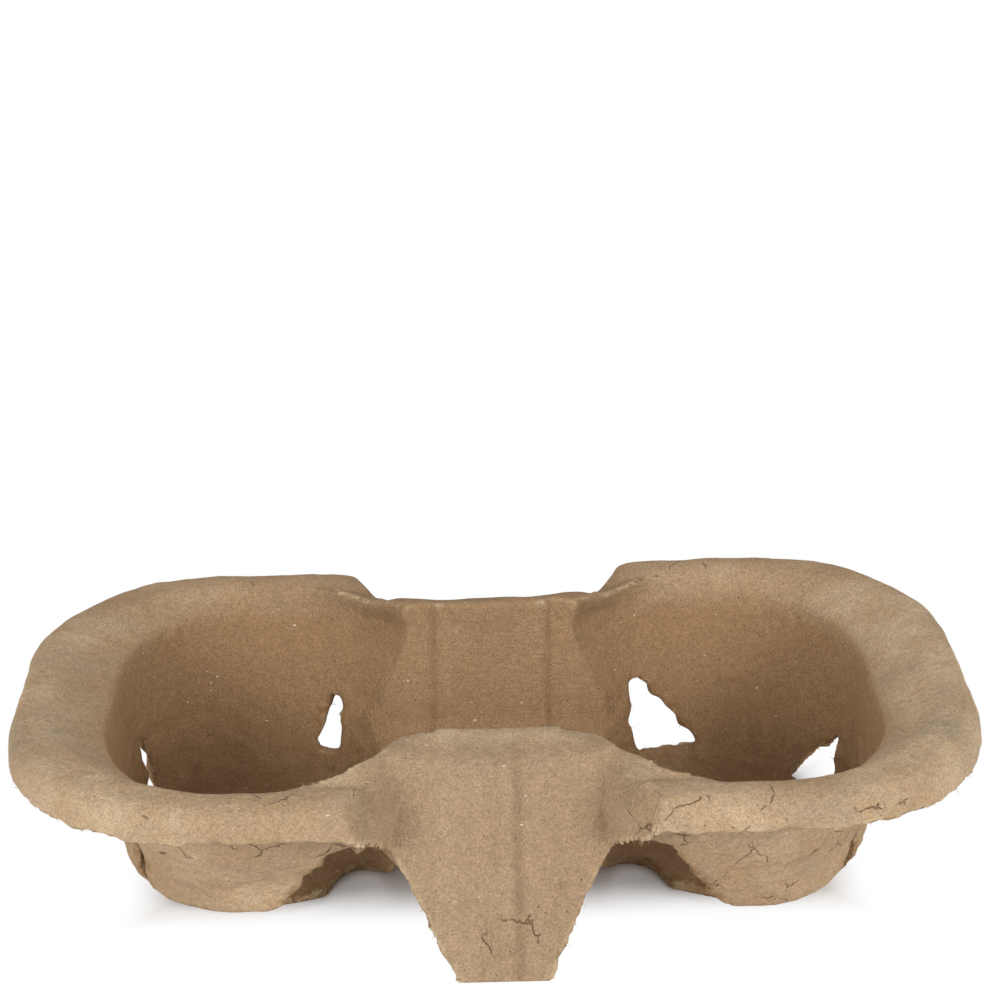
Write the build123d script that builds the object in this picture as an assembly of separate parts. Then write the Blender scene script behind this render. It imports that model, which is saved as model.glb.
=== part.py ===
"""Moulded-fibre carrier for two drinking cups.

One thin shell of moulded pulp: a rolled rim round two tapering cup pockets, a low channel
between them, and a raised saddle on each long side. Each saddle has a crown that slopes
outwards and a tapering tongue that leans out to the ground. The shell is the space between
an upper skin and a lower skin, one wall apart. Each skin is the top of a solid block, so
the carrier is the upper block less the lower block, trimmed under the rim and torn open at
the corners of the pockets.

Frame: millimetres, +X along the row of cups, +Z up, origin at the centre of the footprint
on the surface that the carrier stands on. Apart from its torn slits, the carrier is the same
at both ends and on both long sides.
"""

from build123d import *

import os
from dataclasses import dataclass
from math import cos, radians, sin, tan

# Overall sizes
LENGTH = 210.0  # outside the rim's skirt
WIDTH = 113.0  # outside the rim's skirt
RIM_HEIGHT = 43.5
WALL = 2.4  # thickness of the moulded fibre

# Rim
OUTLINE_RADIUS = 43.0
SKIRT_DEPTH = 8.0  # how far the skirt hangs under the top of the rim
SKIRT_DRAFT = 8.0  # degrees
RIM_ROUND = 4.5
MOUTH_ROUND = 3.4  # between the top of the rim and a pocket
RIM_TOP = 9.0  # from the skirt's foot to the mouth of a pocket

# Cup pockets, each from a mouth at the rim down to a floor
CUP_SPACING = 110.0  # between the centres of the two mouths
MOUTH_LENGTH = 83.0  # along X
MOUTH_RADIUS = 40.0
SHELF_DEPTH = 5.0  # of the sloping shelf inside the rim, under the rim's top
SHELF_SPACING = 98.4  # between the centres of the two pockets, at the shelf's edge
SHELF_LENGTH = 70.6  # of a pocket along X, at the shelf's edge
SHELF_WIDTH = 92.5  # of a pocket across, at the shelf's edge
SHELF_RADIUS = 34.5
FLOOR_SPACING = 106.0  # between the centres of the two floors
FLOOR_LENGTH = 57.0  # along X
FLOOR_WIDTH = 62.0
FLOOR_RADIUS = 23.0
FLOOR_ROUND = 4.5  # between the floor and the walls, inside

# Channel between the pockets
CHANNEL_FLOOR = 11.0
CHANNEL_GAP = 60.0  # between the saddles' walls, at the rim
CHANNEL_DRAFT = 4.0  # degrees
CHANNEL_ROUND = 7.0
PILASTER_WIDTH = 26.0
PILASTER_DEPTH = 1.6

# Saddles and their tongues
SADDLE_RISE = 2.5  # of the crown over the rim
CROWN_FLAT = 26.0
CROWN_LENGTH = 86.0
RIDGE = 1.0  # level strip beside the channel, before the crown slopes down
CROWN_SLOPE = 24.0  # degrees from level
VALLEY_INSET = 2.5  # from the rim's inner edge to the bottom of the valley
VALLEY_BANK = 1.0  # how far the valley's outer bank runs into the rim
VALLEY_END = 1.5  # its width where it fades out
VALLEY_END_DEPTH = 0.3
TONGUE_LEAN = 24.0  # degrees from upright
TONGUE_FOOT = 20.4  # width where it meets the ground
TONGUE_BULGE = 0.8  # of its curved edges
TONGUE_ROOT = 58.0  # width at the foot of the skirt
ROOT_ROUND = 9.0  # between the tongue's edge and the foot of the skirt
RIB_WIDTH = 6.0
RIB_PROUD = 0.9
RIB_ENDS = 4.0  # from the crown, and from the ground

# Notch in the rim, in front of each saddle
NOTCH_WIDTH = 37.4  # at its back, level with the foot of the skirt
NOTCH_FLARE = 25.0  # degrees, in plan
NOTCH_SLOPE = 27.0  # degrees from upright, up the ends of the rim

# Slits at the corners of each pocket
SLIT_START = 27.0  # from the middle of the pocket's floor
SLIT_REACH = 20.0


@dataclass(frozen=True)
class Slit:
    """A gap in a pocket's wall, wider at its foot than at its top."""

    angle: float  # degrees round the pocket, from the carrier's end towards its middle
    foot: float  # height of its lower edge
    top: float
    crown: float  # width at the top
    outward: float  # how far the foot runs towards the carrier's end
    inward: float  # how far the foot runs towards its middle


RIGHT, LEFT = 1, -1
REAR, FRONT = 1, -1
SLITS = (
    (RIGHT, REAR, Slit(117.0, 4.0, 21.0, 4.5, 14.0, 2.5)),
    (RIGHT, REAR, Slit(33.0, 3.0, 14.5, 1.5, 1.0, 7.5)),
    (LEFT, REAR, Slit(114.0, 6.0, 19.0, 3.0, 3.5, 2.5)),
    (LEFT, REAR, Slit(33.0, 3.0, 18.0, 1.5, 1.0, 2.5)),
    (RIGHT, FRONT, Slit(117.0, -1.0, 23.0, 6.0, 13.0, 7.0)),
    (RIGHT, FRONT, Slit(35.0, 3.5, 16.0, 2.0, 2.0, 3.0)),
    (LEFT, FRONT, Slit(117.0, -1.0, 23.0, 6.0, 13.0, 7.0)),
    (LEFT, FRONT, Slit(35.0, 3.5, 16.0, 2.0, 2.0, 3.0)),
)

# Worked out from the sizes above
SKIRT_FOOT = RIM_HEIGHT - SKIRT_DEPTH
SADDLE_HEIGHT = RIM_HEIGHT + SADDLE_RISE
MOUTH_WIDTH = WIDTH - 2 * RIM_TOP
WALL_ACROSS = WALL / cos(radians(20.0))  # the wall measured level, where it leans
FACE_FOOT = WIDTH / 2  # the tongue's face, at the ground
CUT = 30.0  # how far cutters run past the part
CLEAR = 1.0  # how far the trimming stays off the walls that it passes


def outline(inset):
    """Return the rim's outline in plan, moved in by inset."""
    return RectangleRounded(LENGTH - 2 * inset, WIDTH - 2 * inset, OUTLINE_RADIUS - inset)


def face_y(height, inset):
    """Return how far the tongue's face is from the middle at a height."""
    lean = radians(TONGUE_LEAN)
    return FACE_FOOT - height * tan(lean) - inset / cos(lean)


def plateau(inset):
    """Return the block under the rim's top, with its rolled edge."""
    height = RIM_HEIGHT - inset
    skirt_top = inset / cos(radians(SKIRT_DRAFT))
    foot = Pos(0, 0, SKIRT_FOOT - inset) * outline(skirt_top)
    rolled = extrude(foot, height - SKIRT_FOOT + inset, taper=SKIRT_DRAFT)
    top_edges = rolled.faces().sort_by(Axis.Z)[-1].edges()
    rolled = fillet(top_edges, RIM_ROUND - inset)
    base = Pos(0, 0, -inset) * extrude(outline(skirt_top), SKIRT_FOOT)
    return rolled + base


def crown(inset):
    """Return the slab that raises both saddles over the rim, highest in the middle."""
    top = SADDLE_HEIGHT - inset
    ends = RIM_HEIGHT - inset
    half_flat = CROWN_FLAT / 2
    half_length = CROWN_LENGTH / 2
    profile = make_face(
        Polyline(
            (-half_length, ends - CUT / 2),
            (-half_length, ends - WALL / 4),
            (-half_flat, top),
            (half_flat, top),
            (half_length, ends - WALL / 4),
            (half_length, ends - CUT / 2),
            close=True,
        )
    )
    return extrude(Plane.XZ * profile, MOUTH_WIDTH / 2, both=True)


def valley(side, inset):
    """Return the space over one crown's slope, out to the rim, fading to nothing at its ends."""
    rim_edge = MOUTH_WIDTH / 2
    drop = inset / cos(radians(CROWN_SLOPE))
    ridge = CHANNEL_GAP / 2 + RIDGE
    low = rim_edge - VALLEY_INSET
    depth = (low - ridge) * tan(radians(CROWN_SLOPE))
    top = SADDLE_HEIGHT + CUT
    bank = rim_edge + VALLEY_BANK + inset
    middle = Polyline(
        (ridge, SADDLE_HEIGHT - drop),
        (low, SADDLE_HEIGHT - depth - drop),
        (bank, RIM_HEIGHT - drop),
        (bank, top),
        (ridge, top),
        close=True,
    )
    end = Polyline(
        (rim_edge - VALLEY_END, RIM_HEIGHT - drop),
        (rim_edge - VALLEY_END / 2, RIM_HEIGHT - drop - VALLEY_END_DEPTH),
        (rim_edge + inset, RIM_HEIGHT - drop),
        (rim_edge + inset, top),
        (rim_edge - VALLEY_END, top),
        close=True,
    )
    near = Plane.YZ.offset(CROWN_FLAT / 2) * make_face(middle)
    far = Plane.YZ.offset(CROWN_LENGTH / 2) * make_face(end)
    slope = loft([near, far], ruled=True)
    between = extrude(Plane.YZ * make_face(middle), CROWN_FLAT / 2)
    half = slope + between
    space = half + mirror(half, Plane.YZ)
    return space if side > 0 else space.rotate(Axis.Z, 180)


def pocket(side, inset):
    """Return the space inside one cup pocket. A skin that lies lower is wider."""
    grow = 2 * WALL_ACROSS * inset / WALL
    floor = Pos(side * FLOOR_SPACING / 2, 0, WALL - inset) * RectangleRounded(
        FLOOR_LENGTH + grow, FLOOR_WIDTH + grow, FLOOR_RADIUS + grow / 2
    )
    shelf = Pos(side * SHELF_SPACING / 2, 0, RIM_HEIGHT - SHELF_DEPTH - inset) * RectangleRounded(
        SHELF_LENGTH + grow, SHELF_WIDTH + grow, SHELF_RADIUS + grow / 2
    )
    mouth = Pos(side * CUP_SPACING / 2, 0, RIM_HEIGHT - inset) * RectangleRounded(
        MOUTH_LENGTH + grow, MOUTH_WIDTH + grow, MOUTH_RADIUS + grow / 2
    )
    space = loft([floor, shelf])
    space = fillet(space.faces().sort_by(Axis.Z)[0].edges(), FLOOR_ROUND + inset)
    flare = loft([shelf, mouth])
    above = extrude(flare.faces().sort_by(Axis.Z)[-1], CUT)
    return space + flare + above


def channel(inset):
    """Return the space between the two saddles."""
    floor_z = CHANNEL_FLOOR - inset
    rise = RIM_HEIGHT - floor_z
    draft = tan(radians(CHANNEL_DRAFT))
    grow = 2 * inset / cos(radians(CHANNEL_DRAFT))
    long = CUP_SPACING - MOUTH_LENGTH + MOUTH_RADIUS
    gap = CHANNEL_GAP + grow - 2 * rise * draft
    wide = Pos(0, 0, floor_z) * Rectangle(long, gap)
    space = extrude(wide, rise + CUT, taper=-CHANNEL_DRAFT)
    floor_edges = space.faces().sort_by(Axis.Z)[0].edges().filter_by(Axis.X)
    space = fillet(floor_edges, CHANNEL_ROUND + inset)
    narrow = Pos(0, 0, floor_z) * Rectangle(long, gap - 2 * PILASTER_DEPTH)
    between = extrude(narrow, rise + CUT, taper=-CHANNEL_DRAFT)
    floor_edges = between.faces().sort_by(Axis.Z)[0].edges().filter_by(Axis.X)
    between = fillet(floor_edges, CHANNEL_ROUND + inset)
    middle = Box(PILASTER_WIDTH - grow, WIDTH, 4 * CUT)
    return (space - middle) + (between & middle)


def notch(side, inset):
    """Return the space in front of one tongue, between the ends of the rim."""
    grow = inset / cos(radians(NOTCH_FLARE))
    half = NOTCH_WIDTH / 2 + grow
    slope = tan(radians(NOTCH_SLOPE))
    top = RIM_HEIGHT + CUT
    gap = make_face(
        Polyline(
            (-half, -CUT),
            (-half, SKIRT_FOOT),
            (-half - (top - SKIRT_FOOT) * slope, top),
            (half + (top - SKIRT_FOOT) * slope, top),
            (half, SKIRT_FOOT),
            (half, -CUT),
            close=True,
        )
    )
    back = face_y(SADDLE_HEIGHT, inset)
    start = Plane(origin=(0, -back, 0), x_dir=(1, 0, 0), z_dir=(0, -1, 0))
    space = extrude(start * gap, WIDTH / 2 - back + 2, taper=-NOTCH_FLARE)
    in_front = make_face(
        Polyline(
            (-face_y(-CUT, inset), -CUT),
            (-face_y(top, inset), top),
            (-WIDTH, top),
            (-WIDTH, -CUT),
            close=True,
        )
    )
    front = extrude(Plane.YZ * in_front, LENGTH / 2, both=True)
    space = space & front
    return space if side < 0 else space.rotate(Axis.Z, 180)


def slit(shape):
    """Return the cutter of one slit in the rear wall of the right pocket."""
    angle = radians(shape.angle)
    out = Vector(cos(angle), sin(angle), 0)
    along = Vector(-sin(angle), cos(angle), 0)
    centre = Vector(FLOOR_SPACING / 2, 0, 0)
    profile = make_face(
        Polyline(
            (-shape.outward, shape.foot),
            (-shape.crown / 2, shape.top),
            (shape.crown / 2, shape.top),
            (shape.inward, shape.foot),
            close=True,
        )
    )
    start = Plane(origin=centre + out * SLIT_START, x_dir=along, z_dir=out)
    return extrude(start * profile, SLIT_REACH)


def rib(side):
    """Return the low rib down the middle of one tongue."""
    low = RIB_ENDS
    high = SADDLE_HEIGHT - RIB_ENDS
    length = (high - low) / cos(radians(TONGUE_LEAN))
    middle = (high + low) / 2
    strip = SlotOverall(length, RIB_WIDTH, rotation=90)
    outward = (0, -1, tan(radians(TONGUE_LEAN)))
    buried = Plane(origin=(0, -face_y(middle, WALL / 2), middle), x_dir=(1, 0, 0), z_dir=outward)
    raised = extrude(buried * strip, WALL / 2 + RIB_PROUD)
    outer_face = raised.faces().sort_by(Axis.Y)[0]
    raised = fillet(outer_face.edges(), RIB_PROUD * 0.9)
    return raised if side < 0 else raised.rotate(Axis.Z, 180)


def block(inset):
    """Return the solid whose top is the skin that lies inset under the upper one."""
    pockets = pocket(LEFT, inset) + pocket(RIGHT, inset)
    solid = plateau(inset) - pockets
    rim_top = solid.faces().sort_by(Axis.Z)[-1]
    mouths = [edge for wire in rim_top.inner_wires() for edge in wire.edges()]
    solid = fillet(mouths, MOUTH_ROUND - inset)
    solid += crown(inset) - pockets
    for side in (REAR, FRONT):
        solid -= valley(side, inset)
        solid -= notch(side, inset)
    return solid - channel(inset)


def trimming():
    """Return the material to take away under the rim, which leaves the two tongues."""
    root = TONGUE_ROOT / 2
    foot = TONGUE_FOOT / 2
    reach = LENGTH / 2 + CUT
    run_on = (root - foot) * CUT / SKIRT_FOOT
    edge = SagittaArc((foot, 0), (root, SKIRT_FOOT), TONGUE_BULGE)
    sides = Polyline((root, SKIRT_FOOT), (reach, SKIRT_FOOT), (reach, -CUT), (foot - run_on, -CUT), (foot, 0))
    beside = make_face(edge + sides)
    corner = beside.vertices().sort_by_distance((root, SKIRT_FOOT, 0))[0]
    beside = fillet(corner, ROOT_ROUND)
    right = extrude(Plane.XZ * beside, WIDTH, both=True)
    both = right + mirror(right, Plane.YZ)
    ring = Pos(0, 0, -CUT) * extrude(outline(-CUT / 6) - outline(RIM_TOP - CLEAR), CUT + SKIRT_FOOT)
    back = face_y(0, WALL) - CLEAR
    slab = Box(TONGUE_ROOT + 2 * ROOT_ROUND, CUT, 4 * CUT, align=(Align.CENTER, Align.MIN, Align.CENTER))
    slab = Pos(0, back, 0) * Rot(TONGUE_LEAN, 0, 0) * slab
    around = ring + slab + mirror(slab, Plane.XZ)
    return both & around - pocket(LEFT, WALL) - pocket(RIGHT, WALL)


def carrier():
    """Return the whole carrier."""
    tray = block(0) - block(WALL) - trimming()
    for end, side, shape in SLITS:
        cutter = slit(shape)
        if side == FRONT:
            cutter = mirror(cutter, Plane.XZ)
        if end == LEFT:
            cutter = mirror(cutter, Plane.YZ)
        tray -= cutter
    return tray + rib(FRONT) + rib(REAR)


os.makedirs("parts", exist_ok=True)
export_step(carrier(), "parts/cup_carrier.step")
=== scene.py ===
"""Moulded-pulp cup carrier, worked up from its frame and set on a pale studio floor.

The frame's one node gives the shell its form. Here the shell is remeshed, softened and
roughened the way wet fibre dries on a mould, its cut edges fray, and it gets its finish.
Lengths are millimetres in every class; metres come in where Blender needs them.
"""

import logging
import math
import random
from dataclasses import dataclass, field
from enum import Enum
from typing import Any, Sequence

import bmesh
import bpy
import numpy as np
from mathutils import Matrix, Quaternion, Vector, noise


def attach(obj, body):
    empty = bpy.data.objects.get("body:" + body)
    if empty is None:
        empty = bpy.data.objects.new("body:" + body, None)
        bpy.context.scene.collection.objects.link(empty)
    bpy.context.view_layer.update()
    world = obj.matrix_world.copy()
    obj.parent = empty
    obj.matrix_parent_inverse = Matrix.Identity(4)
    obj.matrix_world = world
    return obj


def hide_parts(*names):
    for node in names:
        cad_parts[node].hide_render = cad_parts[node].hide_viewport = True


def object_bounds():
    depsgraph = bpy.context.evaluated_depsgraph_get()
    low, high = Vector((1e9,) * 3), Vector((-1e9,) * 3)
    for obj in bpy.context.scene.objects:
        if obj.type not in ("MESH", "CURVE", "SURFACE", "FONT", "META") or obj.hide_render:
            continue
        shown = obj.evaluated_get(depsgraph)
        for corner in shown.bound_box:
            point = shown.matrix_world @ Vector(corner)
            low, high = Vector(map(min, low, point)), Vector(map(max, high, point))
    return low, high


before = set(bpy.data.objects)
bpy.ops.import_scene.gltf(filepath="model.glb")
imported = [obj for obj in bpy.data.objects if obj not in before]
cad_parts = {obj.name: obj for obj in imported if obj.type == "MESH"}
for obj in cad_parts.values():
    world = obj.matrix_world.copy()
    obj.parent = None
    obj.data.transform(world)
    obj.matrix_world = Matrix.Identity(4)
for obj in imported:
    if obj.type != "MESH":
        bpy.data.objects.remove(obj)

log = logging.getLogger("cup_carrier")

MM = 0.001
CAD_BOX = [list(map(float, corner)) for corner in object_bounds()]
SEED = 41


class Attribute(str, Enum):
    """What is painted on the shell's points for its finish to read, each from 0 to 1."""

    TORN = "torn_edge"
    HOLLOW = "hollow"
    INSIDE = "inside"
    RING = "near_tear"


def linear(code: str) -> tuple[float, float, float, float]:
    """Turn an sRGB hex colour into the linear colour that shaders take.

    Args:
        code: six hex digits with a leading hash.

    Returns:
        Red, green, blue and an alpha of one.
    """
    parts = [int(code[i : i + 2], 16) / 255 for i in (1, 3, 5)]
    lit = [p / 12.92 if p <= 0.04045 else ((p + 0.055) / 1.055) ** 2.4 for p in parts]
    return (lit[0], lit[1], lit[2], 1.0)


def add(tree: bpy.types.NodeTree, kind: str, sockets: dict[Any, Any], **settings: Any) -> bpy.types.Node:
    """Add a node, set it up and link it.

    Args:
        tree: the node tree it goes in.
        kind: the node's type name, without its ShaderNode prefix.
        sockets: input name or number to a value, or to an output socket to link from.
        settings: the node's own properties.

    Returns:
        The new node.
    """
    node = tree.nodes.new("ShaderNode" + kind)
    for name, value in settings.items():
        setattr(node, name, value)
    for key, value in sockets.items():
        if isinstance(value, bpy.types.NodeSocket):
            tree.links.new(value, node.inputs[key])
        else:
            node.inputs[key].default_value = value
    return node


def background_rays(tree: bpy.types.NodeTree) -> bpy.types.NodeSocket:
    """Return 1 for rays that meet the plain background, and 0 for those that light the carrier."""
    path = add(tree, "LightPath", {}).outputs
    either = {0: path["Is Camera Ray"], 1: path["Is Glossy Ray"]}
    straight = add(tree, "Math", either, operation="MAXIMUM").outputs[0]
    either = {0: straight, 1: path["Is Transmission Ray"]}
    return add(tree, "Math", either, operation="MAXIMUM").outputs[0]


def new_object(name: str, mesh: bpy.types.Mesh) -> bpy.types.Object:
    """Put a mesh in the scene as an object at the origin."""
    piece = bpy.data.objects.new(name, mesh)
    bpy.context.scene.collection.objects.link(piece)
    return piece


def finished_mesh(form: bmesh.types.BMesh, name: str) -> bpy.types.Mesh:
    """Turn a worked form into a named mesh, and free it."""
    mesh = bpy.data.meshes.new(name)
    form.to_mesh(mesh)
    form.free()
    return mesh


def smoothstep(low: float, high: float, values: np.ndarray) -> np.ndarray:
    """Ease from 0 at low to 1 at high."""
    t = np.clip((values - low) / (high - low), 0.0, 1.0)
    return t * t * (3 - 2 * t)


def ripple(points: np.ndarray, wavelength: float, seed: int) -> np.ndarray:
    """Sample smooth noise at points.

    Args:
        points: n by 3 places, in millimetres.
        wavelength: the size of the noise's lumps, in millimetres.
        seed: shifts the noise, so that each use of it differs.

    Returns:
        One value a point, from about -1 to 1.
    """
    shifted = points / wavelength + seed * 17.31
    return np.array([noise.noise(Vector(p)) for p in shifted])


def spread(values: np.ndarray, ends: np.ndarray, count: np.ndarray, times: int) -> np.ndarray:
    """Average each point's value with its neighbours'.

    Args:
        values: one a point.
        ends: the two points of each edge.
        count: how many edges each point has.
        times: how often it is done.

    Returns:
        The averaged values.
    """
    for _ in range(times):
        total = values.copy()
        np.add.at(total, ends[:, 0], values[ends[:, 1]])
        np.add.at(total, ends[:, 1], values[ends[:, 0]])
        values = total / (count + 1)
    return values


@dataclass(frozen=True)
class Blob:
    """An ellipsoid, by its middle and its reach along each axis."""

    middle: tuple[float, float, float]
    reach: tuple[float, float, float]


@dataclass(frozen=True)
class Fleck:
    """One kind of speck or short fibre, strewn through the pulp."""

    colour: str
    cell: float  # holds one fleck at most
    empty: float  # share of the cells with none
    radius: float  # of the largest, in cells
    stretch: tuple[float, float, float] = (1.0, 1.0, 1.0)  # under 1 draws them out along that axis


class Web:
    """A material's nodes, with the sums that a finish is made of."""

    def __init__(self, tree: bpy.types.NodeTree) -> None:
        """Start from the place on the shell.

        Args:
            tree: the empty node tree to fill.
        """
        self.tree = tree
        place = add(tree, "TexCoord", {}).outputs["Object"]
        self.mm = add(tree, "VectorMath", {0: place, "Scale": 1 / MM}, operation="SCALE").outputs[0]
        self.x, self.y, self.z = add(tree, "SeparateXYZ", {0: self.mm}).outputs
        self.along = self.sum("ABSOLUTE", self.x)
        self.across = self.sum("ABSOLUTE", self.y)

    def painted(self, attribute: Attribute) -> Any:
        """Return a value painted on the points."""
        return add(self.tree, "Attribute", {}, attribute_name=attribute.value).outputs["Fac"]

    def sum(self, operation: str, first: Any, second: Any = 0.0) -> Any:
        """Return the result of one sum."""
        return add(self.tree, "Math", {0: first, 1: second}, operation=operation).outputs[0]

    def product(self, first: Any, *others: Any) -> Any:
        """Return values multiplied together."""
        for other in others:
            first = self.sum("MULTIPLY", first, other)
        return first

    def vector(self, operation: str, first: Any, second: Any) -> Any:
        """Return the result of one sum of two vectors."""
        return add(self.tree, "VectorMath", {0: first, 1: second}, operation=operation).outputs[0]

    def scaled(self, colour: Any, share: Any) -> Any:
        """Return a colour or a vector made stronger or weaker."""
        return add(self.tree, "VectorMath", {0: colour, "Scale": share}, operation="SCALE").outputs[0]

    def noise(self, size: float, detail: float = 2.0, at: Any = None) -> Any:
        """Return noise, which is mostly from 0.3 to 0.7.

        Args:
            size: of its lumps.
            detail: how many finer layers it has.
            at: where it is sampled, instead of the place on the shell.
        """
        sockets = {"Vector": at or self.mm, "Scale": 1 / size, "Detail": detail, "Roughness": 0.55}
        return add(self.tree, "TexNoise", sockets).outputs["Fac"]

    def ramp(self, value: Any, start: Sequence[float], to: Sequence[float] = (0.0, 1.0)) -> Any:
        """Return a value eased from one range to another."""
        sockets = {"Value": value, "From Min": start[0], "From Max": start[1]}
        sockets |= {"To Min": to[0], "To Max": to[1]}
        return add(self.tree, "MapRange", sockets, interpolation_type="SMOOTHSTEP").outputs[0]

    def mix(self, under: Any, over: str, mask: Any, share: float) -> Any:
        """Return a colour with another laid over it through a mask."""
        sockets = {0: self.product(mask, share), 6: under, 7: linear(over)}
        return add(self.tree, "Mix", sockets, data_type="RGBA").outputs[2]


@dataclass(frozen=True)
class KraftPulp:
    """Recycled brown-paper pulp, sucked wet on to a wire mould and oven dried.

    It is matt and dry-looking, tan with grey and warm patches, full of fine grain, dark and
    pale specks and short fibres. The mould's wire leaves a faint weave on the saddles, and torn
    edges show paler straw-coloured fibre. Painted shade darkens the saddles, the hollows beside
    them, the line beside the tongue's rib and the creases, and the pockets are darker inside,
    partly from their rougher felt and partly as painted shade. A pair of lengths is where a
    zone starts and where it is at its full strength, or the reverse.
    """

    light: str = "#CDB392"
    # darker tan, for patches and for painted shade on the saddles
    dark: str = "#A88D70"
    warm: str = "#B8956C"
    grey: str = "#A8957C"
    straw: str = "#D6BE99"
    scorched: str = "#8A6236"
    # dark brown for cracks, splits and streaks, and for painted shade in hollows and creases
    soiled_and_shade: str = "#7A6147"
    # darker brown, for the rear, for painted shade on the rear saddle, and in the pockets
    deep: str = "#A07F5C"
    speck_dark: str = "#4E3929"
    speck_pale: str = "#E6D9C6"
    speck_red: str = "#A8382A"
    roughness: float = 0.93
    shine: float = 0.25

    patch: float = 34.0  # size of the drifts in colour
    cloud: float = 7.0
    grain: float = 0.45  # coarser than real fibre so that it shows
    felt: float = 1.7
    rough: float = 4.2
    wire_pitch: float = 0.9  # coarser than the mould's wire so that it shows
    wire_depth: float = 0.012
    streak: float = 2.6  # width of the faint upright streaks on the saddles
    layer: float = 0.9  # between the splits along a torn edge
    crack_cell: float = 13.0
    crack_depth: float = 0.35

    saddle_ends: tuple[float, float] = (20.0, 38.0)  # along, from the middle
    saddle_faces: tuple[float, float] = (30.0, 36.0)  # across, either side
    rear_rim: tuple[float, float] = (30.0, 44.0)
    rear_wall: tuple[float, float] = (0.0, 16.0)
    skirt: tuple[float, float] = (47.0, 50.0)  # across, either side
    feet_ends: tuple[float, float] = (30.0, 34.0)  # along, either way
    face_lean: float = 0.445  # how far the tongue's face moves in, for each 1 of height
    rib_edge: float = 3.6  # where a line of painted shade runs beside the tongue's rib
    rib_shade: tuple[float, float] = (0.2, 1.7)
    shaded_hollows: tuple[Blob, ...] = (  # painted shade in the hollows beside the saddles, mirrored in X
        Blob((20.0, -48.0, 41.0), (9.0, 5.0, 6.0)),
        Blob((39.0, 35.0, 41.0), (11.0, 4.0, 6.0)),
    )

    def material(self) -> bpy.types.Material:
        """Build the finish.

        Returns:
            A material for any piece of this pulp.
        """
        made = bpy.data.materials.new("recycled_kraft_pulp")
        made.use_nodes = True
        made.node_tree.nodes.clear()
        web = Web(made.node_tree)
        inside = web.painted(Attribute.INSIDE)
        cracks = self._cracks(web, inside)
        colour = self._shade_and_streaks(web, self._zones(web, self._clouds(web), inside))
        colour = web.scaled(colour, self._grain(web))
        colour = self._flecks(web, self._edges(web, colour))
        colour = web.mix(colour, self.soiled_and_shade, cracks, 0.9)
        sockets = {"Strength": 1.0, "Distance": MM, "Height": self._relief(web, cracks)}
        bump = add(web.tree, "Bump", sockets).outputs[0]
        sockets = {"Base Color": colour, "Roughness": self.roughness, "Normal": bump}
        shader = add(web.tree, "BsdfPrincipled", sockets)
        shader.inputs["Specular IOR Level"].default_value = self.shine
        add(web.tree, "OutputMaterial", {"Surface": shader.outputs[0]})
        return made

    def _clouds(self, web: Web) -> Any:
        """Return the pulp's own colour, with its patches and clouds."""
        patch = web.ramp(web.noise(self.patch), (0.35, 0.65))
        colour = web.mix(linear(self.light), self.dark, patch, 0.7)
        cloud = web.ramp(web.noise(self.cloud, 4.0), (0.35, 0.7))
        colour = web.mix(colour, self.warm, cloud, 0.45)
        elsewhere = web.vector("ADD", web.mm, (71.0, 13.0, 29.0))
        drift = web.ramp(web.noise(self.patch * 0.6, at=elsewhere), (0.5, 0.72))
        return web.mix(colour, self.grey, drift, 0.55)

    def _saddles(self, web: Web) -> Any:
        """Return 1 on the crowns and the tongues."""
        between = web.ramp(web.along, self.saddle_ends, (1.0, 0.0))
        return web.product(between, web.ramp(web.across, self.saddle_faces))

    def _zones(self, web: Web, colour: Any, inside: Any) -> Any:
        """Return the colour with painted shade on the saddles, more on the rear one, and darker along
        the rear and inside the pockets.
        """
        # painted shade: the crowns and tongues of the saddles darker
        colour = web.mix(colour, self.dark, self._saddles(web), 0.75)
        colour = web.mix(colour, self.deep, web.ramp(web.y, self.rear_rim), 0.45)
        # painted shade on the rear saddle and the middle behind the front saddle
        between = web.ramp(web.along, self.saddle_ends, (1.0, 0.0))
        behind = web.product(between, web.ramp(web.y, self.rear_wall))
        colour = web.mix(colour, self.deep, behind, 0.8)
        # inside the pockets darker: partly the rougher felt's own colour, partly painted shade
        return web.mix(colour, self.deep, inside, 0.95)

    def _shade_and_streaks(self, web: Web, colour: Any) -> Any:
        """Return the colour with painted shade in the hollows beside the saddles and beside the tongue's
        rib, and faint streaks on the saddles.
        """
        mirrored = add(web.tree, "CombineXYZ", {0: web.along, 1: web.y, 2: web.z}).outputs[0]
        # painted shade in the hollows beside the saddles
        for blob in self.shaded_hollows:
            apart = web.vector("DIVIDE", web.vector("SUBTRACT", mirrored, blob.middle), blob.reach)
            far = add(web.tree, "VectorMath", {0: apart}, operation="LENGTH").outputs["Value"]
            colour = web.mix(colour, self.soiled_and_shade, web.ramp(far, (0.2, 1.2), (1.0, 0.0)), 0.5)
        saddles = self._saddles(web)
        upright = web.vector("MULTIPLY", web.mm, (1.0, 0.1, 0.05))
        streak = web.ramp(web.noise(self.streak, 1.0, upright), (0.35, 0.6), (1.0, 0.0))
        colour = web.mix(colour, self.soiled_and_shade, web.product(streak, saddles), 0.10)
        # painted shade: a dark line beside the tongue's rib
        beside = web.sum("ABSOLUTE", web.sum("SUBTRACT", web.x, self.rib_edge))
        line = web.product(web.ramp(beside, self.rib_shade, (1.0, 0.0)), saddles)
        return web.mix(colour, self.soiled_and_shade, line, 0.30)

    def _grain(self, web: Web) -> Any:
        """Return how much lighter or darker the grain makes each place."""
        fine = web.ramp(web.noise(self.grain, 3.0), (0.3, 0.7), (0.77, 1.18))
        return web.product(fine, web.ramp(web.noise(self.grain * 3.6, 3.0), (0.3, 0.7), (0.93, 1.06)))

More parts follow.
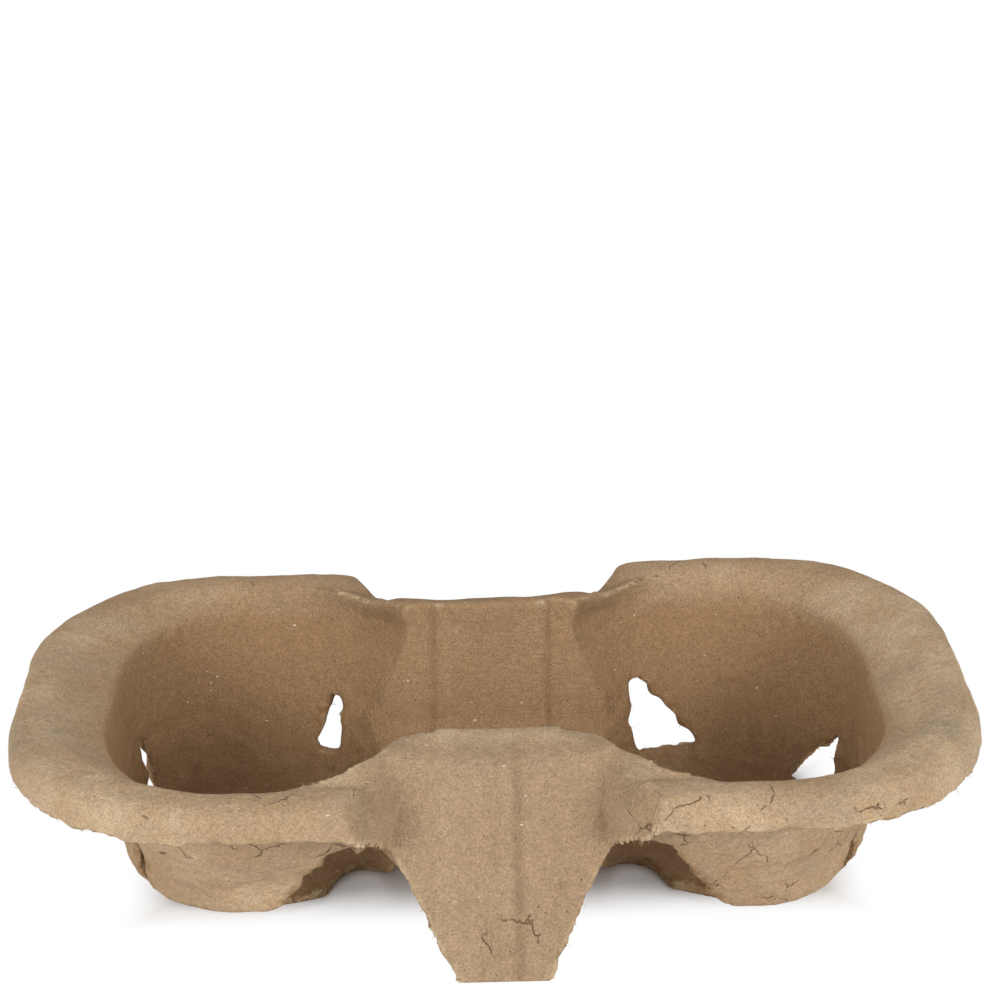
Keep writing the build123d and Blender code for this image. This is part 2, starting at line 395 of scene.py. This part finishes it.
    def _edges(self, web: Web, colour: Any) -> Any:
        """Return the colour with torn edges paler or browned, and painted shade in the creases."""
        torn = web.painted(Attribute.TORN)
        broken = web.ramp(web.noise(1.4, 3.0), (0.3, 0.6), (0.35, 1.0))
        colour = web.mix(colour, self.straw, web.product(torn, broken), 0.75)
        patchy = web.ramp(web.noise(4.5, 3.0), (0.48, 0.62))
        colour = web.mix(colour, self.scorched, web.product(torn, patchy), 0.6)
        colour = web.mix(colour, self.soiled_and_shade, self._layers(web, torn), 0.75)
        worn = web.ramp(web.noise(2.2, 3.0), (0.35, 0.6), (0.2, 1.0))
        ring = web.product(web.painted(Attribute.RING), worn)
        colour = web.mix(colour, self.scorched, ring, 0.65)
        # painted shade in the creases and folds
        return web.mix(colour, self.soiled_and_shade, web.painted(Attribute.HOLLOW), 0.45)

    def _layers(self, web: Web, torn: Any) -> Any:
        """Return the thin splits between the layers that show along a torn edge."""
        through = web.sum("ADD", web.across, web.product(web.z, self.face_lean))
        sheet = add(web.tree, "CombineXYZ", {0: web.product(web.x, 0.12), 1: through}).outputs[0]
        off = web.sum("ABSOLUTE", web.sum("SUBTRACT", web.noise(self.layer, 1.0, sheet), 0.5))
        sharp = web.ramp(torn, (0.6, 0.95))
        return web.product(web.ramp(off, (0.012, 0.05), (1.0, 0.0)), sharp)

    def _flecks(self, web: Web, colour: Any) -> Any:
        """Return the colour with specks and short fibres strewn over it."""
        kinds = (
            Fleck(self.speck_dark, 1.5, 0.60, 0.15),
            Fleck(self.speck_dark, 5.0, 0.60, 0.075),
            Fleck(self.speck_pale, 2.6, 0.66, 0.10),
            Fleck(self.speck_red, 16.0, 0.72, 0.028),
            Fleck(self.speck_dark, 0.9, 0.90, 0.14, (0.3, 1.0, 1.0)),
            Fleck(self.speck_dark, 0.9, 0.90, 0.14, (1.0, 0.6, 0.3)),
            Fleck(self.speck_pale, 1.0, 0.84, 0.15, (0.3, 0.9, 0.5)),
        )
        for index, kind in enumerate(kinds):
            shift = (7.0 * index, 3.0, 0.0)
            turn = (0.4 * index, 0.25 * index, 0.7 * index)
            strewn = add(web.tree, "Mapping", {"Vector": web.mm, "Location": shift, "Rotation": turn})
            strewn.inputs["Scale"].default_value = kind.stretch
            cells = add(web.tree, "TexVoronoi", {"Vector": strewn.outputs[0], "Scale": 1 / kind.cell})
            chance = add(web.tree, "SeparateColor", {0: cells.outputs["Color"]}).outputs[0]
            size = web.ramp(chance, (kind.empty, 1.0), (0.0, kind.radius))
            gap = web.sum("SUBTRACT", size, cells.outputs["Distance"])
            colour = web.mix(colour, kind.colour, web.ramp(gap, (0.0, 0.05)), 0.8)
        return colour

    def _cracks(self, web: Web, inside: Any) -> Any:
        """Return where the dried skin has cracked: short, thin, wandering lines on the outside."""
        sockets = {"Vector": web.mm, "Scale": 1 / 3.0, "Detail": 3.0}
        wander = web.scaled(add(web.tree, "TexNoise", sockets).outputs["Color"], 4.5)
        sockets = {"Vector": web.vector("ADD", web.mm, wander), "Scale": 1 / self.crack_cell}
        cells = add(web.tree, "TexVoronoi", sockets, feature="DISTANCE_TO_EDGE")
        line = web.ramp(cells.outputs["Distance"], (0.0, 0.018), (1.0, 0.0))
        here = web.ramp(web.noise(11.0), (0.52, 0.58))
        feet = web.product(
            web.ramp(web.z, self.feet_ends, (1.0, 0.0)),
            web.ramp(web.along, self.feet_ends),
            web.ramp(inside, (0.0, 0.2), (1.0, 0.0)),
        )
        outside = web.sum("MAXIMUM", web.ramp(web.across, self.skirt), feet)
        return web.product(line, here, outside)

    def _relief(self, web: Web, cracks: Any) -> Any:
        """Return the height of the surface in millimetres."""
        grain = web.ramp(web.noise(self.grain, 3.0), (0.2, 0.8), (0.0, 0.09))
        felt = web.ramp(web.noise(self.felt, 4.0), (0.2, 0.8), (0.0, 0.18))
        pockets = web.ramp(web.along, (24.0, 42.0), (0.25, 1.0))
        rough = web.ramp(web.noise(self.rough, 4.0), (0.3, 0.7), (0.0, 0.22))
        height = web.sum("ADD", web.sum("ADD", grain, felt), web.product(rough, pockets))
        turns = 2 * math.pi / self.wire_pitch
        warp = web.sum("SINE", web.product(web.x, turns))
        weft = web.sum("SINE", web.product(web.sum("SUBTRACT", web.z, web.across), turns))
        saddles = web.ramp(web.along, (26.0, 44.0), (1.0, 0.0))
        weave = web.product(web.sum("ADD", warp, weft), self.wire_depth, saddles)
        height = web.sum("ADD", height, weave)
        return web.sum("SUBTRACT", height, web.product(cracks, self.crack_depth))


@dataclass
class CarrierShell:
    """The moulded shell, its softened form and its torn edges.

    The frame's shell gives the sizes that are repeated here. A pair of lengths in a call to
    smoothstep is where an effect starts and where it is at its full strength.
    """

    finish: KraftPulp
    node: str = "cup_carrier"
    voxel: float = 0.8
    triangles: int = 190_000
    soften: int = 4
    box: Sequence[Sequence[float]] = field(default_factory=lambda: CAD_BOX)

    skirt_foot: float = 35.5  # height
    tongue_foot: float = 10.2  # half width
    tongue_root: float = 29.0  # half width, at the skirt's foot
    pocket_centre: float = 52.0  # from the middle of the tray

    twist: float = 2.3  # how far the rear right of the rim has lifted
    drop: float = 0.3  # how far the rear left of it has sunk
    sag: float = 1.8  # of the rim beside the rear saddle
    sag_middle: float = 28.0
    sag_reach: float = 5.0
    foot_taper: float = 0.14  # share by which the feet's outer ends are drawn in
    left_draw: float = 3.2  # how far the front of the left foot is drawn in
    right_draw: float = 1.2
    bite: float = 0.9  # of the ragged skirt and the slits' edges, up and down
    slit_bite: float = 1.1  # of the slits' edges, along
    tongue_bite: float = 0.7
    tears: tuple[Blob, ...] = (
        Blob((-30.0, -29.0, 2.0), (8.5, 17.0, 20.0)),
        Blob((30.0, -29.0, 2.0), (8.5, 17.0, 20.0)),
        Blob((79.0, 22.0, 2.0), (7.5, 5.0, 7.0)),
    )

    def build(self) -> bpy.types.Object:
        """Build the shell.

        Returns:
            The finished piece, riding on the frame's body.
        """
        piece = new_object("moulded_shell", self._remeshed())
        points, normals = self._read(piece.data)
        points = self._lump(self._fray(self._warp(points)), normals)
        self._write(piece.data, points)
        self._thin(piece)
        self._paint(piece.data)
        for polygon in piece.data.polygons:
            polygon.use_smooth = True
        piece.data.materials.clear()
        piece.data.materials.append(self.finish.material())
        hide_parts(self.node)
        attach(piece, "root")
        log.info("%s: %d points", piece.name, len(piece.data.vertices))
        return piece

    def _remeshed(self) -> bpy.types.Mesh:
        """Return the node's mesh, merged, torn, remeshed evenly and softened."""
        copied = bmesh.new()
        copied.from_mesh(bpy.data.objects[self.node].data)
        bmesh.ops.remove_doubles(copied, verts=copied.verts, dist=0.01 * MM)
        helper = new_object("shell_helper", finished_mesh(copied, "merged_shell"))
        tears = new_object("tear_helper", self._tears())
        cut = helper.modifiers.new("tear", "BOOLEAN")
        cut.operation = "DIFFERENCE"
        cut.solver = "EXACT"
        cut.object = tears
        remesh = helper.modifiers.new("even", "REMESH")
        remesh.mode = "VOXEL"
        remesh.voxel_size = self.voxel * MM
        smooth = helper.modifiers.new("soften", "SMOOTH")
        smooth.factor = 0.5
        smooth.iterations = self.soften
        made = self._baked(helper)
        bpy.data.objects.remove(helper)
        bpy.data.objects.remove(tears)
        return made

    def _tears(self) -> bpy.types.Mesh:
        """Return what is torn off the feet: both front inner corners, and one rear outer corner."""
        gone = bmesh.new()
        for blob in self.tears:
            place = Matrix.Translation(Vector(blob.middle) * MM)
            size = Matrix.Diagonal((*(Vector(blob.reach) * MM), 1.0))
            bmesh.ops.create_icosphere(gone, subdivisions=3, radius=1.0, matrix=place @ size)
        return finished_mesh(gone, "tears")

    def _baked(self, piece: bpy.types.Object) -> bpy.types.Mesh:
        """Return a mesh of a piece with its modifiers applied."""
        graph = bpy.context.evaluated_depsgraph_get()
        return bpy.data.meshes.new_from_object(piece.evaluated_get(graph))

    def _read(self, mesh: bpy.types.Mesh) -> tuple[np.ndarray, np.ndarray]:
        """Return a mesh's points in millimetres, and their normals."""
        flat = np.empty(len(mesh.vertices) * 3)
        mesh.vertices.foreach_get("co", flat)
        turned = np.empty(len(mesh.vertices) * 3, dtype=np.float32)
        mesh.vertex_normals.foreach_get("vector", turned)
        return flat.reshape(-1, 3) / MM, turned.reshape(-1, 3).astype(float)

    def _write(self, mesh: bpy.types.Mesh, points: np.ndarray) -> None:
        """Move a mesh's points to new places in millimetres."""
        mesh.vertices.foreach_set("co", (points * MM).ravel())
        mesh.update()

    def _warp(self, points: np.ndarray) -> np.ndarray:
        """Return the points after drying has twisted the tray and drawn in its feet."""
        x, y, z = points.T
        moved = points.copy()
        right = smoothstep(-0.4, 0.9, x / (self.box[1][0] / MM))
        rear = smoothstep(-0.3, 1.0, y / (self.box[1][1] / MM))
        moved[:, 2] += smoothstep(8.0, 43.0, z) * rear * (self.twist * right - self.drop)
        near = np.exp(-(((np.abs(x) - self.sag_middle) / self.sag_reach) ** 2))
        moved[:, 2] -= self.sag * near * smoothstep(8.0, 20.0, y) * smoothstep(36.0, 43.0, z)
        front = smoothstep(0.0, -26.0, y) * smoothstep(36.0, 12.0, z)
        beyond = np.maximum(np.abs(x) - self.pocket_centre, 0) * np.sign(x)
        drawn = np.sign(x) * self.pocket_centre + beyond * (1 - self.foot_taper * front)
        moved[:, 0] = np.where(np.abs(x) > self.pocket_centre, drawn, x)
        foot = smoothstep(-22.0, -32.0, y) * smoothstep(24.0, 8.0, z)
        foot = foot * smoothstep(22.0, 30.0, np.abs(x))
        moved[:, 1] += foot * np.where(x < 0, self.left_draw, self.right_draw)
        return moved

    def _fray(self, points: np.ndarray) -> np.ndarray:
        """Return the points with ragged edges on the skirt, the slits and the tongues."""
        x, y, z = points.T
        moved = points.copy()
        skirt = smoothstep(self.skirt_foot + 4.0, self.skirt_foot, z)
        skirt = skirt * smoothstep(self.skirt_foot - 6.0, self.skirt_foot - 3.0, z)
        nibbled = ripple(points * (1, 1, 0.3), 5.0, 3) + 0.6 * ripple(points, 1.8, 4)
        moved[:, 2] += self.bite * nibbled * skirt
        slits = smoothstep(26.0, 20.0, z) * smoothstep(0.5, 4.0, z) * smoothstep(22.0, 26.0, np.abs(x))
        moved[:, 0] += self.slit_bite * ripple(points, 4.0, 5) * slits
        moved[:, 2] += self.bite * ripple(points, 3.5, 6) * slits
        share = np.clip(z / self.skirt_foot, 0, 1)
        edge = self.tongue_foot + (self.tongue_root - self.tongue_foot) * share
        face = self.box[1][1] / MM - self.finish.face_lean * z
        front = smoothstep(7.0, 4.0, np.abs(np.abs(y) - face))
        near = smoothstep(4.0, 0.5, np.abs(np.abs(x) - edge)) * front
        ragged = ripple(points, 7.0, 7) + 0.8 * ripple(points, 2.2, 8)
        moved[:, 0] += self.tongue_bite * ragged * near * (z < self.skirt_foot)
        return moved

    def _lump(self, points: np.ndarray, normals: np.ndarray) -> np.ndarray:
        """Return the points pushed in and out by the pulp's uneven thickness, none below ground."""
        height = 0.35 * ripple(points, 16.0, 1) + 0.2 * ripple(points, 6.0, 2)
        height = height + 0.1 * ripple(points, 2.6, 9)
        settled = smoothstep(0.0, 1.5, points[:, 2])
        moved = points + normals * (height * settled)[:, None]
        moved[:, 2] = np.maximum(moved[:, 2], 0)
        return moved

    def _thin(self, piece: bpy.types.Object) -> None:
        """Thin the mesh to its limit of triangles."""
        piece.data.calc_loop_triangles()
        count = len(piece.data.loop_triangles)
        if count > self.triangles:
            thinner = piece.modifiers.new("thin", "DECIMATE")
            thinner.ratio = self.triangles / count
            thinned = self._baked(piece)
            piece.modifiers.clear()
            piece.data = thinned

    def _paint(self, mesh: bpy.types.Mesh) -> None:
        """Paint each point's bend, and where it is in its pocket, for the finish to read."""
        points, normals = self._read(mesh)
        ends = np.empty(len(mesh.edges) * 2, dtype=np.int64)
        mesh.edges.foreach_get("vertices", ends)
        ends = ends.reshape(-1, 2)
        count = np.bincount(ends.ravel(), minlength=len(points))
        bend = self._bend(points, normals, ends, count)
        torn = smoothstep(0.22, 0.45, bend)
        along, across = np.abs(points[:, :2]).T
        pocket = smoothstep(16.0, 30.0, along) * smoothstep(48.0, 44.0, across)
        ring = torn * pocket * smoothstep(32.0, 27.0, points[:, 2])
        painted = {
            Attribute.TORN: torn,
            Attribute.HOLLOW: smoothstep(0.08, 0.3, -bend),
            Attribute.INSIDE: self._inside(points, normals) * pocket,
            Attribute.RING: smoothstep(0.05, 0.3, spread(ring, ends, count, times=7)),
        }
        for name, values in painted.items():
            layer = mesh.attributes.new(name.value, "FLOAT", "POINT")
            layer.data.foreach_set("value", values.astype(np.float32))

    def _bend(
        self, points: np.ndarray, normals: np.ndarray, ends: np.ndarray, count: np.ndarray
    ) -> np.ndarray:
        """Return how sharply each point juts out, or, below 0, folds in.

        Args:
            points: the mesh's points.
            normals: their normals.
            ends: the two points of each edge.
            count: how many edges each point has.
        """
        bend = np.zeros(len(points))
        for one, other in (ends.T, ends.T[::-1]):
            step = points[other] - points[one]
            rise = (step * normals[one]).sum(1) / (step * step).sum(1)
            np.add.at(bend, one, -2 * rise)
        return spread(bend / count, ends, count, times=3)

    def _inside(self, points: np.ndarray, normals: np.ndarray) -> np.ndarray:
        """Return 1 where a point faces the middle of its pocket, or is on its floor."""
        outward = np.stack([points[:, 0] - np.sign(points[:, 0]) * self.pocket_centre, points[:, 1]], 1)
        reach = np.maximum(np.linalg.norm(outward, axis=1), 1.0)
        facing = -(normals[:, :2] * outward).sum(1) / reach
        wall = smoothstep(0.0, 0.35, facing) * smoothstep(43.0, 34.0, points[:, 2])
        floor = smoothstep(0.5, 0.85, normals[:, 2]) * smoothstep(16.0, 12.0, points[:, 2])
        return np.maximum(wall, floor)


@dataclass
class StrayFibres:
    """Short fibres that stand out of the torn edges."""

    shell: bpy.types.Object
    finish: KraftPulp
    amount: int = 500
    length: tuple[float, float] = (0.5, 1.8)
    radius: float = 0.07  # thicker than a real fibre so that it shows
    steps: int = 3
    torn_over: float = 0.7  # how torn an edge is where they grow
    ground_gap: float = 2.5  # none grow lower

    def build(self) -> bpy.types.Object:
        """Build the fibres.

        Returns:
            The finished piece, riding on the frame's body.
        """
        chance = random.Random(SEED)
        mesh = self.shell.data
        layer = mesh.attributes[Attribute.TORN.value].data
        low = self.ground_gap * MM
        torn = [v for v in mesh.vertices if layer[v.index].value > self.torn_over and v.co.z > low]
        strands = bmesh.new()
        for root in chance.sample(torn, min(self.amount, len(torn))):
            self._strand(strands, root.co.copy(), root.normal.copy(), chance)
        piece = new_object("stray_fibres", finished_mesh(strands, "stray_fibres"))
        piece.data.materials.append(self.finish.material())
        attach(piece, "root")
        log.info("%s: %d points", piece.name, len(piece.data.vertices))
        return piece

    def _strand(
        self, strands: bmesh.types.BMesh, root: Vector, out: Vector, chance: random.Random
    ) -> None:
        """Grow one bent, tapering fibre.

        Args:
            strands: the mesh that it joins.
            root: where it leaves the shell.
            out: the shell's normal there.
            chance: the source of its turns.
        """
        heading = (out + Vector([chance.uniform(-1.2, 1.2) for _ in range(3)])).normalized()
        stride = chance.uniform(*self.length) * MM / self.steps
        made = bmesh.ops.create_circle(strands, cap_ends=True, segments=3, radius=self.radius * MM)
        rim = made["verts"]
        turn = heading.to_track_quat("Z", "Y")
        bmesh.ops.rotate(strands, verts=rim, cent=(0, 0, 0), matrix=turn.to_matrix())
        bmesh.ops.translate(strands, verts=rim, vec=root - out * 0.1 * MM)
        face = next(iter(rim[0].link_faces))
        for step in range(self.steps):
            grown = bmesh.ops.extrude_discrete_faces(strands, faces=[face])
            face = grown["faces"][0]
            heading = (heading + Vector([chance.uniform(-0.5, 0.5) for _ in range(3)])).normalized()
            bmesh.ops.translate(strands, verts=face.verts, vec=heading * stride)
            middle = face.calc_center_median()
            shrink = 1 - 0.25 * (step + 1)
            about = Matrix.Translation(-middle)
            bmesh.ops.scale(strands, verts=face.verts, vec=(shrink,) * 3, space=about)


@dataclass(frozen=True)
class PaperSweep:
    """A white studio floor, which shows the carrier's shadow only well in beneath the tray."""

    size: float = 6000.0
    gap: float = 0.1  # under the carrier
    colour: str = "#EFEEEE"
    shaded: float = 38.0  # inside the carrier's box, where its shadow starts to give way to white
    cleared: float = 22.0  # inside the box, where only white is left

    def build(self) -> bpy.types.Object:
        """Build the floor.

        Returns:
            The floor.
        """
        sheet = bmesh.new()
        bmesh.ops.create_grid(sheet, x_segments=1, y_segments=1, size=self.size * MM / 2)
        bmesh.ops.translate(sheet, verts=sheet.verts, vec=(0, 0, CAD_BOX[0][2] - self.gap * MM))
        floor = new_object("studio_floor", finished_mesh(sheet, "studio_floor"))
        floor.data.materials.append(self._material())
        return floor

    def _material(self) -> bpy.types.Material:
        """Return matt paper beneath the tray, giving way to plain white towards its outline."""
        made = bpy.data.materials.new("white_paper_sweep")
        made.use_nodes = True
        tree = made.node_tree
        tree.nodes.clear()
        place = add(tree, "TexCoord", {}).outputs["Object"]
        parts = add(tree, "SeparateXYZ", {0: place}).outputs
        gaps = []
        for part, limit in zip(parts, CAD_BOX[1][:2]):
            size = add(tree, "Math", {0: part}, operation="ABSOLUTE").outputs[0]
            gaps.append(add(tree, "Math", {0: size, 1: limit}, operation="SUBTRACT").outputs[0])
        away = add(tree, "Math", {0: gaps[0], 1: gaps[1]}, operation="MAXIMUM").outputs[0]
        fade = {"Value": away, "From Min": -self.shaded * MM, "From Max": -self.cleared * MM}
        clear = add(tree, "MapRange", fade, interpolation_type="SMOOTHSTEP").outputs[0]
        share = add(tree, "Math", {0: clear, 1: background_rays(tree)}, operation="MULTIPLY").outputs[0]
        matt = add(tree, "BsdfDiffuse", {"Color": linear(self.colour)}).outputs[0]
        plain = add(tree, "Emission", {"Color": linear("#FFFFFF"), "Strength": 1.0}).outputs[0]
        mixed = add(tree, "MixShader", {0: share, 1: matt, 2: plain}).outputs[0]
        add(tree, "OutputMaterial", {"Surface": mixed})
        return made


@dataclass(frozen=True)
class SoftBox:
    """One large soft lamp, aimed at the carrier."""

    name: str
    place: tuple[float, float, float]
    size: float
    power: float

    def build(self, aim: Vector) -> None:
        """Hang the lamp and turn it to a point."""
        data = bpy.data.lights.new(self.name, "AREA")
        data.shape = "SQUARE"
        data.size = self.size * MM
        data.energy = self.power
        lamp = bpy.data.objects.new(self.name, data)
        lamp.location = Vector(self.place) * MM
        lamp.rotation_euler = (aim - lamp.location).to_track_quat("-Z", "Y").to_euler()
        bpy.context.scene.collection.objects.link(lamp)


@dataclass(frozen=True)
class Studio:
    """The lamps, the even light of the room, and the camera."""

    room: float = 0.24
    lamps: tuple[SoftBox, ...] = (
        SoftBox("low_left_softbox", (-807.0, -807.0, 391.0), 400.0, 4.3),
        SoftBox("low_right_softbox", (807.0, -807.0, 391.0), 400.0, 4.3),
        SoftBox("high_left_softbox", (-735.0, -735.0, 620.0), 400.0, 3.3),
        SoftBox("high_right_softbox", (735.0, -735.0, 620.0), 400.0, 3.3),
        SoftBox("rear_softbox", (0.0, 900.0, 750.0), 500.0, 3.0),
    )
    eye: tuple[float, float, float] = (-11.7, -427.8, 272.5)
    aim: tuple[float, float, float] = (1.2, 0.0, 20.0)
    lens: float = 79.2
    sensor: float = 36.0
    clip: tuple[float, float] = (10.0, 20000.0)
    roll: float = 0.4  # degrees
    shift: float = 0.2634  # of the picture's width, upwards

    def build(self) -> None:
        """Light the scene and place the camera."""
        target = Vector(self.aim) * MM
        for lamp in self.lamps:
            lamp.build(target)
        self._light_room()
        self._place_camera(target)

    def _light_room(self) -> None:
        """Give the room its even light, and plain white behind the carrier."""
        world = bpy.data.worlds.new("studio_room")
        bpy.context.scene.world = world
        world.use_nodes = True
        tree = world.node_tree
        tree.nodes.clear()
        sockets = {"Value": background_rays(tree), "To Min": self.room, "To Max": 1.0}
        level = add(tree, "MapRange", sockets)
        light = add(tree, "Background", {"Color": (1, 1, 1, 1), "Strength": level.outputs[0]})
        add(tree, "OutputWorld", {"Surface": light.outputs[0]})

    def _place_camera(self, target: Vector) -> None:
        """Place the camera and turn it to a point."""
        data = bpy.data.cameras.new("studio_camera")
        data.lens = self.lens
        data.sensor_width = self.sensor
        data.shift_y = self.shift
        data.clip_start, data.clip_end = (distance * MM for distance in self.clip)
        camera = bpy.data.objects.new("studio_camera", data)
        camera.location = Vector(self.eye) * MM
        turned = (target - camera.location).to_track_quat("-Z", "Y")
        rolled = turned @ Quaternion((0, 0, 1), math.radians(-self.roll))
        camera.rotation_euler = rolled.to_euler()
        bpy.context.scene.collection.objects.link(camera)
        bpy.context.scene.camera = camera


def main() -> None:
    """Build the carrier and its studio."""
    logging.basicConfig(level=logging.INFO, format="%(name)s: %(message)s")
    bpy.context.scene.view_settings.view_transform = "Standard"
    pulp = KraftPulp()
    shell = CarrierShell(pulp).build()
    StrayFibres(shell, pulp).build()
    PaperSweep().build()
    Studio().build()


if __name__ == "__main__":
    main()
